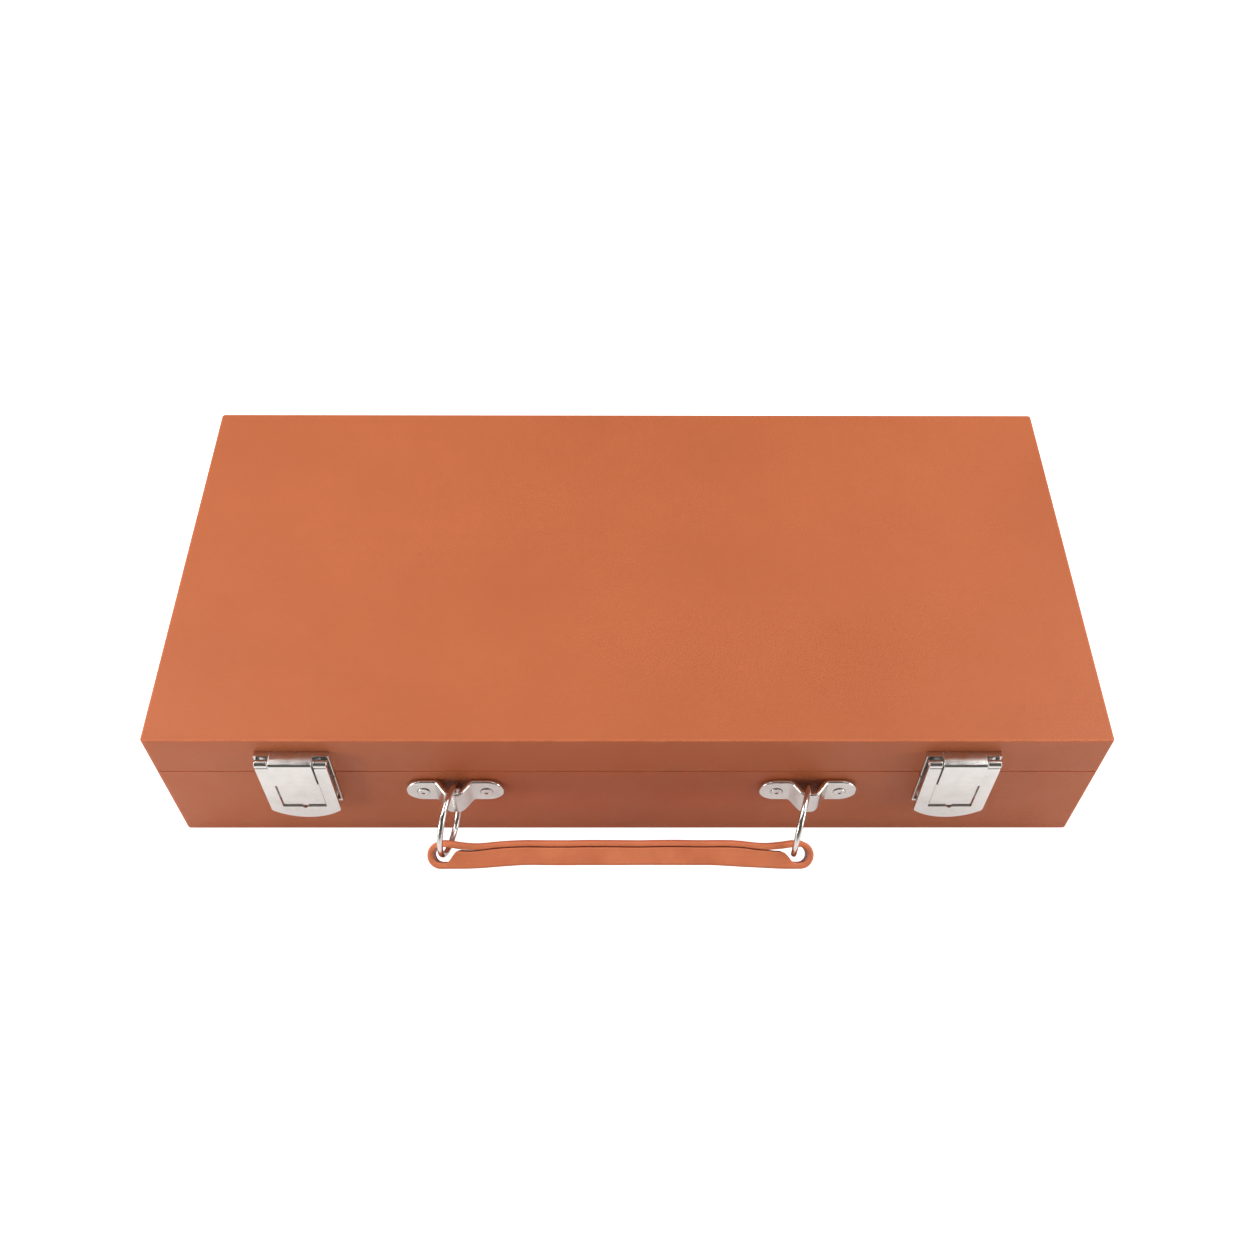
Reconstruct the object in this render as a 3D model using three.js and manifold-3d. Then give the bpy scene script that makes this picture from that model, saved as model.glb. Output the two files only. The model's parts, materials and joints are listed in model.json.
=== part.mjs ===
// A leatherette backgammon case: two hinged halves that open flat into the board, two hasp
// latches and a strap handle on rings at the front, and the playing pieces stored inside.
// Millimetres, +Z up. The origin is the centre of the case's underside, and -Y is the front.

import * as THREE from "three";
import { mergeVertices } from "three/addons/utils/BufferGeometryUtils.js";
import Module from "manifold-3d";

const wasm = await Module();
wasm.setup();

// Case, closed.
const WIDTH = 380;
const DEPTH = 179;
const HEIGHT = 72;
const SEAM = 48.5;
const SEAM_GAP = 0.3;
const WALL = 8;
const BOARD = 4;
const CORNER = 1.5;
const FIT = 0.3;
const FRONT = -DEPTH / 2;
const BACK = DEPTH / 2;
const LID_RIM = SEAM + SEAM_GAP;

// Inside: a playing field in each half, with a well at each end.
const INNER_X = WIDTH / 2 - WALL;
const INNER_Y = DEPTH / 2 - WALL;
const FIELD_DEPTH = 17;
const PANEL = 2.4;
const WELL = 30;
const RAIL = 6;
const RAIL_DROP = 2;
const RAIL_X = INNER_X - WELL - RAIL;
const FRAME_WALL = 6;

// Rear hinge, a long one with its barrel just behind the back face.
const HINGE_LENGTH = 330;
const HINGE_KNUCKLES = 15;
const HINGE_GAP = 0.4;
const BARREL_R = 1.6;
const BARREL_BORE_R = 0.95;
const HINGE_PIN_R = 0.85;
const LEAF = 1;
const LEAF_HEIGHT = 13;
const LEAF_EDGE = 2;
const BARREL_Y = BACK + FIT + BARREL_R;
const BARREL_Z = SEAM + SEAM_GAP / 2;

// Hasp latches. Depths are measured outwards from the front face.
const LATCH_X = 132.5;
const LATCH_PLATE = 0.8;
const LATCH_PLATE_HALF = 14.8;
const LATCH_RIM = 0.9;
const LATCH_RIM_OUT = 2.4;
const LATCH_TOP = 64.4;
const LATCH_LOW = 29;
const HOUSING_HALF = 8.6;
const HOUSING_OUT = 7;
const HOUSING_SKIN = 1;
const KEEPER_OUT = 4.4;
const KEEPER_LOW = 31.4;
const HASP_HALF = 14.2;
const HASP_WINDOW_HALF = 9;
const HASP_WINDOW_LOW = 30.6;
const HASP_BOTTOM = 21.7;
const HASP_BOTTOM_R = 20;
const HASP_CORNER_R = 1.6;
const HASP_PLATE = 1.4;
const HASP_OUT = 6.1;
const HASP_NOTCH = 1.1;
const LATCH_PIN_OUT = 4.6;
const LATCH_PIN_Z = 62.4;
const LATCH_PIN_R = 0.6;
const LATCH_BORE_R = 0.8;
const KNUCKLE_R = 1.5;

// Handle: two bent brackets, a ring through each, and a strap looped round both rings.
const BRACKETS = [
  { side: "left", x: -70.7 },
  { side: "right", x: 73.9 },
];
const BRACKET_LENGTH = 40;
const BRACKET_HEIGHT = 14;
const BRACKET_Z = 35.8;
const BRACKET_METAL = 2;
const BULGE_INNER = 5.9;
const BULGE_FOOT = 7.9;
const BULGE_TOP = 1.6;
const BULGE_STEPS = 6;
const RING_R = 13.8;
const RING_WIRE_R = 1.2;
const RING_OUT = 15.1;
const RING_Z = 35.4;
// Each ring is turned a little about the vertical, because the strap lies shifted to the left.
const RINGS = [
  { side: "left", x: -72, turn: 11 },
  { side: "right", x: 70.3, turn: 16 },
];
const STRAP_LEFT = -80.2;
const STRAP_RIGHT = 74.4;
const STRAP_WIDTH = 11;
const STRAP_IN = 8;
const STRAP_OUT = 19;
const STRAP_BAND = 2.2;
const STRAP_DROOP = 30;
const LOOP_LENGTH = 7.5;
const LOOP_TAPER = 5;

// Playing pieces.
const CHECKER_R = 12.5;
const CHECKER = 7.5;
const CHECKER_PITCH = 7.8;
const CHECKERS = 15;
const DIE = 12;
const DOUBLING_CUBE = 19;
const CUP_LENGTH = 40;
const CUP_WIDTH = 27.4;
const CUP_HEIGHT = 40;
const CUP_WALL = 2.2;
const CUP_FLOOR = 3;
const CUP_MARGIN = 1;

// How finely round shapes are cut, and how far a cutting tool runs past the face it goes through.
const BARREL_SIDES = 12;
const KNUCKLE_SIDES = 14;
const PIN_SIDES = 10;
const CHECKER_SIDES = 24;
const WIRE_SIDES = 8;
const RING_STEPS = 36;
const CASE_ARC = 3;
const SMALL_ARC = 6;
const LARGE_ARC = 10;
const PAST = 1;
// Taken off a radius that is half a side, so that two arcs don't end in the same point.
const SLIGHT = 0.01;

const TAN = { color: 0xcb7248, roughness: 0.6, metalness: 0 };
const IVORY_CLOTH = { color: 0xe6dcc6, roughness: 0.9, metalness: 0 };
const NICKEL = { color: 0xdad6cc, roughness: 0.28, metalness: 1 };
const BRASS = { color: 0xc9a75a, roughness: 0.35, metalness: 1 };
const IVORY = { color: 0xf0e8d4, roughness: 0.3, metalness: 0 };
const BROWN = { color: 0x45261a, roughness: 0.3, metalness: 0 };
const CUP_BROWN = { color: 0x5a3322, roughness: 0.65, metalness: 0 };

const model = new THREE.Group();

function addPart(name, geometry, finish) {
  const mesh = new THREE.Mesh(geometry, new THREE.MeshStandardMaterial(finish));
  mesh.name = name;
  model.add(mesh);
  return mesh;
}

// Solids for the cuts and joins.

function toSolid(geometry) {
  const bare = geometry.clone();
  bare.deleteAttribute("normal");
  bare.deleteAttribute("uv");
  const merged = mergeVertices(bare);
  const vertProperties = new Float32Array(merged.attributes.position.array);
  const triVerts = new Uint32Array(merged.index.array);
  return new wasm.Manifold(new wasm.Mesh({ numProp: 3, vertProperties, triVerts }));
}

function toGeometry(solid) {
  const { vertProperties, triVerts } = solid.getMesh();
  const geometry = new THREE.BufferGeometry();
  geometry.setAttribute("position", new THREE.BufferAttribute(vertProperties, 3));
  geometry.setIndex(new THREE.BufferAttribute(triVerts, 1));
  return geometry;
}

function join(first, ...others) {
  return toGeometry(others.reduce((sum, one) => sum.add(toSolid(one)), toSolid(first)));
}

function cut(body, ...tools) {
  return toGeometry(tools.reduce((rest, one) => rest.subtract(toSolid(one)), toSolid(body)));
}

function keep(body, region) {
  return toGeometry(toSolid(body).intersect(toSolid(region)));
}

// Basic shapes, given by their limits.

function block(x, y, z) {
  const geometry = new THREE.BoxGeometry(x[1] - x[0], y[1] - y[0], z[1] - z[0]);
  return geometry.translate((x[0] + x[1]) / 2, (y[0] + y[1]) / 2, (z[0] + z[1]) / 2);
}

function out(from, to) {
  return [FRONT - to, FRONT - from];
}

function rod(radius, x, y, z, sides) {
  const geometry = new THREE.CylinderGeometry(radius, radius, x[1] - x[0], sides);
  return geometry.rotateZ(Math.PI / 2).translate((x[0] + x[1]) / 2, y, z);
}

function extrude(shape, depth, curveSegments) {
  return new THREE.ExtrudeGeometry(shape, { depth, bevelEnabled: false, curveSegments });
}

// A shape drawn in x and z, made solid between two depths in front of the front face.
function onFront(shape, from, to, curveSegments) {
  return extrude(shape, to - from, curveSegments).rotateX(Math.PI / 2).translate(0, FRONT - from, 0);
}

function roundedRectangle(halfX, halfY, radius) {
  const shape = new THREE.Shape();
  shape.moveTo(halfX, -halfY + radius);
  shape.absarc(halfX - radius, halfY - radius, radius, 0, Math.PI / 2);
  shape.absarc(-halfX + radius, halfY - radius, radius, Math.PI / 2, Math.PI);
  shape.absarc(-halfX + radius, -halfY + radius, radius, Math.PI, 1.5 * Math.PI);
  shape.absarc(halfX - radius, -halfY + radius, radius, 1.5 * Math.PI, 2 * Math.PI);
  return shape;
}

// Case halves and what is fixed in them.

function caseHalf(low, high, cavity) {
  const outline = roundedRectangle(WIDTH / 2, DEPTH / 2, CORNER);
  const body = extrude(outline, high - low, CASE_ARC).translate(0, 0, low);
  return cut(body, block([-INNER_X, INNER_X], [-INNER_Y, INNER_Y], cavity));
}

function addCase() {
  addPart("base_shell", caseHalf(0, SEAM, [BOARD, SEAM + PAST]), TAN);
  addPart("lid_shell", caseHalf(LID_RIM, HEIGHT, [LID_RIM - PAST, HEIGHT - BOARD]), TAN);
}

function addBaseField() {
  const top = SEAM - FIELD_DEPTH;
  const low = BOARD + FIT;
  const x = RAIL_X + RAIL;
  const y = INNER_Y - FIT;
  const support = top - PANEL - FIT;
  const box = block([-x, x], [-y, y], [low, support]);
  const hollowY = y - FRAME_WALL;
  const inner = block([-RAIL_X, RAIL_X], [-hollowY, hollowY], [low - PAST, support + PAST]);
  const rails = [-1, 1].map((side) => {
    const ends = [side * RAIL_X, side * x].sort((a, b) => a - b);
    return block(ends, [-y, y], [low, SEAM - RAIL_DROP]);
  });
  addPart("base_field_frame", join(cut(box, inner), ...rails), TAN);
  const half = RAIL_X - FIT;
  addPart("base_playing_panel", block([-half, half], [-y, y], [top - PANEL, top]), IVORY_CLOTH);
}

function addLidField() {
  const face = LID_RIM + FIELD_DEPTH;
  const ceiling = HEIGHT - BOARD - FIT;
  const y = INNER_Y - FIT;
  const half = RAIL_X - FIT;
  addPart("lid_playing_panel", block([-half, half], [-y, y], [face, ceiling]), IVORY_CLOTH);
  const z = [LID_RIM + RAIL_DROP, ceiling];
  addPart("lid_divider_left", block([-RAIL_X - RAIL, -RAIL_X], [-y, y], z), TAN);
  addPart("lid_divider_right", block([RAIL_X, RAIL_X + RAIL], [-y, y], z), TAN);
}

// Rear hinge. Each leaf is a strip on the back face, with every second knuckle of the barrel.
function hingeLeaf(up, firstKnuckle) {
  const sorted = (a, b) => [Math.min(a, b), Math.max(a, b)];
  const nearEdge = BARREL_Z + up * LEAF_EDGE;
  const strip = sorted(nearEdge, nearEdge + up * LEAF_HEIGHT);
  let leaf = block([-HINGE_LENGTH / 2, HINGE_LENGTH / 2], [BACK, BACK + LEAF], strip);
  const pitch = HINGE_LENGTH / HINGE_KNUCKLES;
  for (let i = firstKnuckle; i < HINGE_KNUCKLES; i += 2) {
    const start = -HINGE_LENGTH / 2 + i * pitch + HINGE_GAP / 2;
    const x = [start, start + pitch - HINGE_GAP];
    const web = block(x, [BACK + FIT, BARREL_Y], sorted(BARREL_Z, nearEdge + up * LEAF / 2));
    leaf = join(leaf, web, rod(BARREL_R, x, BARREL_Y, BARREL_Z, BARREL_SIDES));
  }
  const bore = [-HINGE_LENGTH / 2 - PAST, HINGE_LENGTH / 2 + PAST];
  return cut(leaf, rod(BARREL_BORE_R, bore, BARREL_Y, BARREL_Z, BARREL_SIDES));
}

function addHinge() {
  addPart("hinge_leaf_base", hingeLeaf(-1, 0), BRASS);
  addPart("hinge_leaf_lid", hingeLeaf(1, 1), BRASS);
  const x = [-HINGE_LENGTH / 2, HINGE_LENGTH / 2];
  addPart("hinge_pin", rod(HINGE_PIN_R, x, BARREL_Y, BARREL_Z, BARREL_SIDES), BRASS);
}

// Latches. A back plate with side rims carries a pressed cover that is open along the seam.
function pressedPlate(z, coverZ, coverOut, openEnd) {
  const plate = block([-LATCH_PLATE_HALF, LATCH_PLATE_HALF], out(0, LATCH_PLATE), z);
  const rims = [-1, 1].map((side) => {
    const edge = side * (LATCH_PLATE_HALF - LATCH_RIM / 2);
    return block([edge - LATCH_RIM / 2, edge + LATCH_RIM / 2], out(0, LATCH_RIM_OUT), z);
  });
  const cover = block([-HOUSING_HALF, HOUSING_HALF], out(0, coverOut), coverZ);
  const inside = HOUSING_HALF - HOUSING_SKIN;
  const hollowZ = openEnd < 0
    ? [coverZ[0] - PAST, coverZ[1] - HOUSING_SKIN]
    : [coverZ[0] + HOUSING_SKIN, coverZ[1] + PAST];
  const hollow = block([-inside, inside], out(LATCH_PLATE, coverOut - HOUSING_SKIN), hollowZ);
  return cut(join(plate, ...rims, cover), hollow);
}

function haspOutline() {
  const drop = HASP_BOTTOM_R - Math.sqrt(HASP_BOTTOM_R ** 2 - (HASP_HALF - HASP_CORNER_R) ** 2);
  const cornerZ = HASP_BOTTOM + drop;
  const arc = Math.asin((HASP_HALF - HASP_CORNER_R) / HASP_BOTTOM_R);
  const shape = new THREE.Shape();
  shape.moveTo(-HASP_HALF, LATCH_PIN_Z);
  shape.lineTo(-HASP_HALF, cornerZ + HASP_CORNER_R);
  shape.quadraticCurveTo(-HASP_HALF, cornerZ, -HASP_HALF + HASP_CORNER_R, cornerZ);
  const centreZ = HASP_BOTTOM + HASP_BOTTOM_R;
  shape.absarc(0, centreZ, HASP_BOTTOM_R, -Math.PI / 2 - arc, -Math.PI / 2 + arc);
  shape.quadraticCurveTo(HASP_HALF, cornerZ, HASP_HALF, cornerZ + HASP_CORNER_R);
  shape.lineTo(HASP_HALF, LATCH_PIN_Z);
  shape.lineTo(HASP_WINDOW_HALF, LATCH_PIN_Z);
  shape.lineTo(HASP_WINDOW_HALF, HASP_WINDOW_LOW);
  shape.lineTo(HASP_NOTCH, HASP_WINDOW_LOW);
  shape.lineTo(0, HASP_WINDOW_LOW - HASP_NOTCH);
  shape.lineTo(-HASP_NOTCH, HASP_WINDOW_LOW);
  shape.lineTo(-HASP_WINDOW_HALF, HASP_WINDOW_LOW);
  shape.lineTo(-HASP_WINDOW_HALF, LATCH_PIN_Z);
  return shape;
}

function hasp() {
  const plate = onFront(haspOutline(), HASP_OUT - HASP_PLATE, HASP_OUT, LARGE_ARC);
  const y = FRONT - LATCH_PIN_OUT;
  const knuckles = [[-HASP_HALF, -HASP_WINDOW_HALF], [HASP_WINDOW_HALF, HASP_HALF]].map(
    (x) => rod(KNUCKLE_R, x, y, LATCH_PIN_Z, KNUCKLE_SIDES),
  );
  const boreX = [-HASP_HALF - PAST, HASP_HALF + PAST];
  const bore = rod(LATCH_BORE_R, boreX, y, LATCH_PIN_Z, PIN_SIDES);
  return cut(join(plate, ...knuckles), bore);
}

function addLatch(side, x) {
  const y = FRONT - LATCH_PIN_OUT;
  const boreX = [-HOUSING_HALF - PAST, HOUSING_HALF + PAST];
  const bore = rod(LATCH_BORE_R, boreX, y, LATCH_PIN_Z, PIN_SIDES);
  const upper = [LID_RIM + FIT, LATCH_TOP];
  const housing = pressedPlate(upper, upper, HOUSING_OUT, -1);
  const keeper = pressedPlate([LATCH_LOW, SEAM - FIT], [KEEPER_LOW, SEAM - FIT], KEEPER_OUT, 1);
  const parts = {
    lid_plate: cut(housing, bore),
    hinge_pin: rod(LATCH_PIN_R, [-HASP_HALF, HASP_HALF], y, LATCH_PIN_Z, PIN_SIDES),
    hasp: hasp(),
    keeper,
  };
  for (const [part, geometry] of Object.entries(parts)) {
    addPart(`latch_${side}_${part}`, geometry, NICKEL).position.x = x;
  }
}

// Handle brackets: a strip bent outwards in the middle, with rounded ends.
function offsetLine(points, distance) {
  return points.map((point, i) => {
    const before = points[Math.max(i - 1, 0)];
    const after = points[Math.min(i + 1, points.length - 1)];
    const along = after.clone().sub(before).normalize();
    return new THREE.Vector2(point.x - along.y * distance, point.y + along.x * distance);
  });
}

// The middle of the strip, from one end to the other: flat tabs, and an S-shaped rise to the bulge.
function bracketLine(flat, crown) {
  const left = [new THREE.Vector2(-BRACKET_LENGTH / 2 - PAST, FRONT - flat)];
  for (let i = 0; i <= BULGE_STEPS; i += 1) {
    const share = i / BULGE_STEPS;
    const rise = share * share * (3 - 2 * share);
    const x = BULGE_FOOT + (BULGE_TOP - BULGE_FOOT) * share;
    left.push(new THREE.Vector2(-x, FRONT - flat - (crown - flat) * rise));
  }
  const right = left.map(({ x, y }) => new THREE.Vector2(-x, y)).reverse();
  return [...left, ...right];
}

function bracket() {
  const half = BRACKET_METAL / 2;
  const crown = BULGE_INNER + half;
  const line = bracketLine(half, crown);
  const edge = [...offsetLine(line, -half), ...offsetLine(line, half).reverse()];
  const strip = extrude(new THREE.Shape(edge), BRACKET_HEIGHT, 1);
  strip.translate(0, 0, BRACKET_Z - BRACKET_HEIGHT / 2);
  const radius = BRACKET_HEIGHT / 2 - SLIGHT;
  const outline = roundedRectangle(BRACKET_LENGTH / 2, BRACKET_HEIGHT / 2, radius);
  const region = onFront(outline, -PAST, crown + BRACKET_METAL, SMALL_ARC).translate(0, 0, BRACKET_Z);
  return keep(strip, region);
}

// The strap is drawn with x across and y outwards from the ring centres, then turned to droop.
function strapOutline() {
  const middle = (STRAP_IN + STRAP_OUT) / 2;
  const radius = (STRAP_OUT - STRAP_IN) / 2;
  const shape = new THREE.Shape();
  shape.moveTo(STRAP_RIGHT - radius, STRAP_IN);
  shape.absarc(STRAP_RIGHT - radius, middle, radius, -Math.PI / 2, Math.PI / 2);
  shape.absarc(STRAP_LEFT + radius, middle, radius, Math.PI / 2, 1.5 * Math.PI);
  shape.holes.push(strapLoop(STRAP_LEFT + STRAP_BAND, 1), strapLoop(STRAP_RIGHT - STRAP_BAND, -1));
  return shape;
}

// A teardrop opening: round at the strap's end, then straight, then closing to a point.
function strapLoop(end, inward) {
  const middle = (STRAP_IN + STRAP_OUT) / 2;
  const radius = (STRAP_OUT - STRAP_IN) / 2 - STRAP_BAND;
  const hole = new THREE.Path();
  const straight = end + inward * LOOP_LENGTH;
  hole.moveTo(straight + inward * LOOP_TAPER, middle);
  hole.lineTo(straight, middle - radius);
  const from = -Math.PI / 2;
  hole.absarc(end + inward * radius, middle, radius, from, from - inward * Math.PI, inward > 0);
  hole.lineTo(straight, middle + radius);
  return hole;
}

function addHandle() {
  for (const { side, x } of BRACKETS) {
    addPart(`bracket_${side}`, bracket(), NICKEL).position.x = x;
  }
  for (const { side, x, turn } of RINGS) {
    const wire = new THREE.TorusGeometry(RING_R, RING_WIRE_R, WIRE_SIDES, RING_STEPS);
    const ring = addPart(`ring_${side}`, wire.rotateY(Math.PI / 2), NICKEL);
    ring.position.set(x, FRONT - RING_OUT, RING_Z);
    ring.rotation.z = THREE.MathUtils.degToRad(-turn);
  }
  const band = extrude(strapOutline(), STRAP_WIDTH, LARGE_ARC).translate(0, 0, -STRAP_WIDTH / 2);
  const strap = addPart("handle_strap", band, TAN);
  strap.position.set(0, FRONT - RING_OUT, RING_Z);
  strap.rotation.x = Math.PI + THREE.MathUtils.degToRad(STRAP_DROOP);
}

// Playing pieces: a row of checkers on edge and a dice cup in each well of the base, and the
// dice and doubling cube on the middle of the base's field.

function addCheckers(colour, finish, x) {
  const z = BOARD + FIT + CHECKER_R;
  for (let i = 0; i < CHECKERS; i += 1) {
    const round = new THREE.CylinderGeometry(CHECKER_R, CHECKER_R, CHECKER, CHECKER_SIDES);
    const number = String(i + 1).padStart(2, "0");
    const y = -INNER_Y + FIT + CHECKER / 2 + i * CHECKER_PITCH;
    addPart(`checker_${colour}_${number}`, round, finish).position.set(x, y, z);
  }
}

function diceCup() {
  const outer = roundedRectangle(CUP_WIDTH / 2, CUP_LENGTH / 2, CUP_WIDTH / 2 - SLIGHT);
  const halfX = CUP_WIDTH / 2 - CUP_WALL;
  const inner = roundedRectangle(halfX, CUP_LENGTH / 2 - CUP_WALL, halfX - SLIGHT);
  const bore = extrude(inner, CUP_HEIGHT, SMALL_ARC).translate(0, 0, CUP_FLOOR);
  return cut(extrude(outer, CUP_HEIGHT, SMALL_ARC), bore);
}

function addPieces() {
  const wellX = INNER_X - WELL / 2;
  addCheckers("ivory", IVORY, -wellX);
  addCheckers("brown", BROWN, wellX);
  const cupY = INNER_Y - CUP_MARGIN - CUP_LENGTH / 2;
  addPart("dice_cup_left", diceCup(), CUP_BROWN).position.set(-wellX, cupY, BOARD + FIT);
  addPart("dice_cup_right", diceCup(), CUP_BROWN).position.set(wellX, cupY, BOARD + FIT);
  const field = SEAM - FIELD_DEPTH + FIT;
  const dice = [
    { name: "die_ivory_1", x: -10, y: -56, turn: 12, finish: IVORY },
    { name: "die_ivory_2", x: 9, y: -47, turn: -27, finish: IVORY },
    { name: "die_brown_1", x: -8, y: 45, turn: 33, finish: BROWN },
    { name: "die_brown_2", x: 11, y: 55, turn: -9, finish: BROWN },
  ];
  for (const { name, x, y, turn, finish } of dice) {
    const die = addPart(name, new THREE.BoxGeometry(DIE, DIE, DIE), finish);
    die.position.set(x, y, field + DIE / 2);
    die.rotation.z = THREE.MathUtils.degToRad(turn);
  }
  const cube = new THREE.BoxGeometry(DOUBLING_CUBE, DOUBLING_CUBE, DOUBLING_CUBE);
  addPart("doubling_cube", cube, IVORY).position.set(0, 0, field + DOUBLING_CUBE / 2);
}

addCase();
addBaseField();
addLidField();
addHinge();
addLatch("left", -LATCH_X);
addLatch("right", LATCH_X);
addHandle();
addPieces();

export default model;
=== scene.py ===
"""The looks of a leatherette backgammon case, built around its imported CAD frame.

Shapes are drawn in millimetres in the frame's own axes (+Z up, -Y the front) and turned into
metres when their mesh is made.
"""

import json
import random
from math import cos, exp, pi, radians, sin, sqrt, tan

import bmesh
import bpy
from mathutils import Matrix, Vector, noise


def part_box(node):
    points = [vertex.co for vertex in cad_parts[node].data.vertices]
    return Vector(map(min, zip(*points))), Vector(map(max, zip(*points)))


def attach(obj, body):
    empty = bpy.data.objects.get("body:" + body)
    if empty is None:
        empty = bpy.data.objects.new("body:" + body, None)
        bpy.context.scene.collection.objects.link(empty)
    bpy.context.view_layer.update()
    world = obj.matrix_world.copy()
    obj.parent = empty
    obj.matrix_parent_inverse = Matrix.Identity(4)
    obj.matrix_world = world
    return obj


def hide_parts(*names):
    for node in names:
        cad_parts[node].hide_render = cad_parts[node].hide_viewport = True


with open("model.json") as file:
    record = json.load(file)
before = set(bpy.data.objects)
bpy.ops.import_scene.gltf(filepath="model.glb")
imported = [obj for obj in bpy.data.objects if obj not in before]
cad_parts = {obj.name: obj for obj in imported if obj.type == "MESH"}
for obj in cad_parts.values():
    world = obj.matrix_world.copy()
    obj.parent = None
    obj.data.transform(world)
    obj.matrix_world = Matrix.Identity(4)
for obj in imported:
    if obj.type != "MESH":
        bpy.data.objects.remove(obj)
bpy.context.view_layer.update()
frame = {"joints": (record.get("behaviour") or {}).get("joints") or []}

MM = 0.001
SMOOTH_ANGLE = radians(38)
# The clearance between parts that fit together.
FIT = 0.3
# How far past a rounded corner a flat gets a support point, which keeps its shading even.
PAST = 0.7
# The most of a side that a corner's arc takes, with and without an arc at its other end.
NEAR_HALF, NEAR_ALL = 0.499, 0.999
SMALLEST_CORNER = 0.25


# ---- measures from the frame

def limits(node):
    """Lowest and highest corner of a CAD node, in millimetres."""
    low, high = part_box(node)
    return low / MM, high / MM


def centre(node):
    low, high = limits(node)
    return (low + high) / 2


def joint(name):
    return next(one for one in frame["joints"] if one["name"] == name)


BASE_LOW, BASE_HIGH = limits("base_shell")
LID_LOW, LID_HIGH = limits("lid_shell")
FRONT = BASE_LOW.y
BACK = BASE_HIGH.y
PANEL_LOW, PANEL_HIGH = limits("base_playing_panel")
FRAME_LOW, FRAME_HIGH = limits("base_field_frame")
WALL = BACK - PANEL_HIGH.y - FIT
BOARD = FRAME_LOW.z - FIT


# ---- meshes

def shown(name, data):
    """A new object in the scene for a mesh, a light, a camera or lettering."""
    made = bpy.data.objects.new(name, data)
    bpy.context.scene.collection.objects.link(made)
    return made


def mesh_object(name, points, faces, *finishes):
    """A smooth-shaded mesh from points in millimetres, with its faces turned outwards."""
    data = bpy.data.meshes.new(name)
    data.from_pydata([Vector(point) * MM for point in points], [], faces)
    shape = bmesh.new()
    shape.from_mesh(data)
    return finished(name, shape, data, finishes)


def finished(name, shape, data, finishes):
    bmesh.ops.recalc_face_normals(shape, faces=shape.faces)
    shape.to_mesh(data)
    shape.free()
    smooth(data)
    for finish in finishes:
        data.materials.append(finish)
    return shown(name, data)


def smooth(data):
    data.shade_smooth()
    data.set_sharp_from_angle(angle=SMOOTH_ANGLE)


def loft(name, loops, *finishes, ring=False, inner_from=None):
    """A skin through loops of points. Its ends are capped, unless it closes on itself as a ring.
    Loops from number inner_from on take the second finish."""
    count = len(loops[0])
    points = [point for loop in loops for point in loop]
    faces = []
    for i in range(len(loops) if ring else len(loops) - 1):
        near, far = i * count, (i + 1) % len(loops) * count
        for j in range(count):
            k = (j + 1) % count
            faces.append((near + j, near + k, far + k, far + j))
    side_faces = len(faces)
    if not ring:
        faces.append(tuple(range(count)))
        faces.append(tuple(range(len(points) - count, len(points))))
    piece = mesh_object(name, points, faces, *finishes)
    if inner_from is not None:
        for face in piece.data.polygons:
            loop = face.index // count
            if inner_from <= loop < side_faces // count or face.index == len(faces) - 1:
                face.material_index = 1
    return piece


def soften(points, steps=4, closed=True):
    """An outline through (a, b, radius) points, with each corner turned into an arc."""
    outline = []
    for i, (a, b, radius) in enumerate(points):
        corner = Vector((a, b))
        if not radius or (not closed and i in (0, len(points) - 1)):
            outline.append(corner)
            continue
        before = Vector(points[i - 1][:2]) - corner
        after = Vector(points[(i + 1) % len(points)][:2]) - corner
        half = before.angle(after) / 2
        reach = radius / tan(half)
        for side, neighbour in ((before, points[i - 1]), (after, points[(i + 1) % len(points)])):
            reach = min(reach, side.length * (NEAR_HALF if neighbour[2] else NEAR_ALL))
        start = corner + before.normalized() * reach
        end = corner + after.normalized() * reach
        for k in range(steps + 1):
            t = k / steps
            shares = (1 - t) ** 2, 2 * sin(half) * t * (1 - t), t ** 2
            middle = start * shares[0] + corner * shares[1] + end * shares[2]
            outline.append(middle / sum(shares))
    return outline


def circle(a, b, radius, count=28):
    turns = [2 * pi * i / count for i in range(count)]
    return [Vector((a + radius * cos(turn), b + radius * sin(turn))) for turn in turns]


def box_outline(a, b, radius):
    """A rectangle between two limits each way, with round corners."""
    corners = [(a[0], b[0]), (a[1], b[0]), (a[1], b[1]), (a[0], b[1])]
    return soften([(*corner, radius) for corner in corners])


def rounded_loop(middle, half, radius, z, steps=5, past=0):
    """A level rounded rectangle at height z, with support points beside its corners if past."""
    x, y = half
    corners = [Vector(corner) for corner in ((-x, -y), (x, -y), (x, y), (-x, y))]
    points = []
    for i, corner in enumerate(corners):
        before, after = corners[i - 1], corners[(i + 1) % 4]
        points.append((*corner, radius))
        if past:
            points.insert(-1, (*(corner + (before - corner).normalized() * (radius + past)), 0))
            points.append((*(corner + (after - corner).normalized() * (radius + past)), 0))
    return [(middle[0] + a, middle[1] + b, z) for a, b in soften(points, steps)]


def stack(name, middle, half, corner, profile, *finishes, **options):
    """A loft of rounded rectangles, one for each (inset, z) point of a profile."""
    loops = []
    for inset, z in profile:
        size = (half[0] - inset, half[1] - inset)
        radius = max(corner - inset, SMALLEST_CORNER)
        loops.append(rounded_loop(middle, size, radius, z, past=PAST))
    return loft(name, loops, *finishes, **options)


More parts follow.
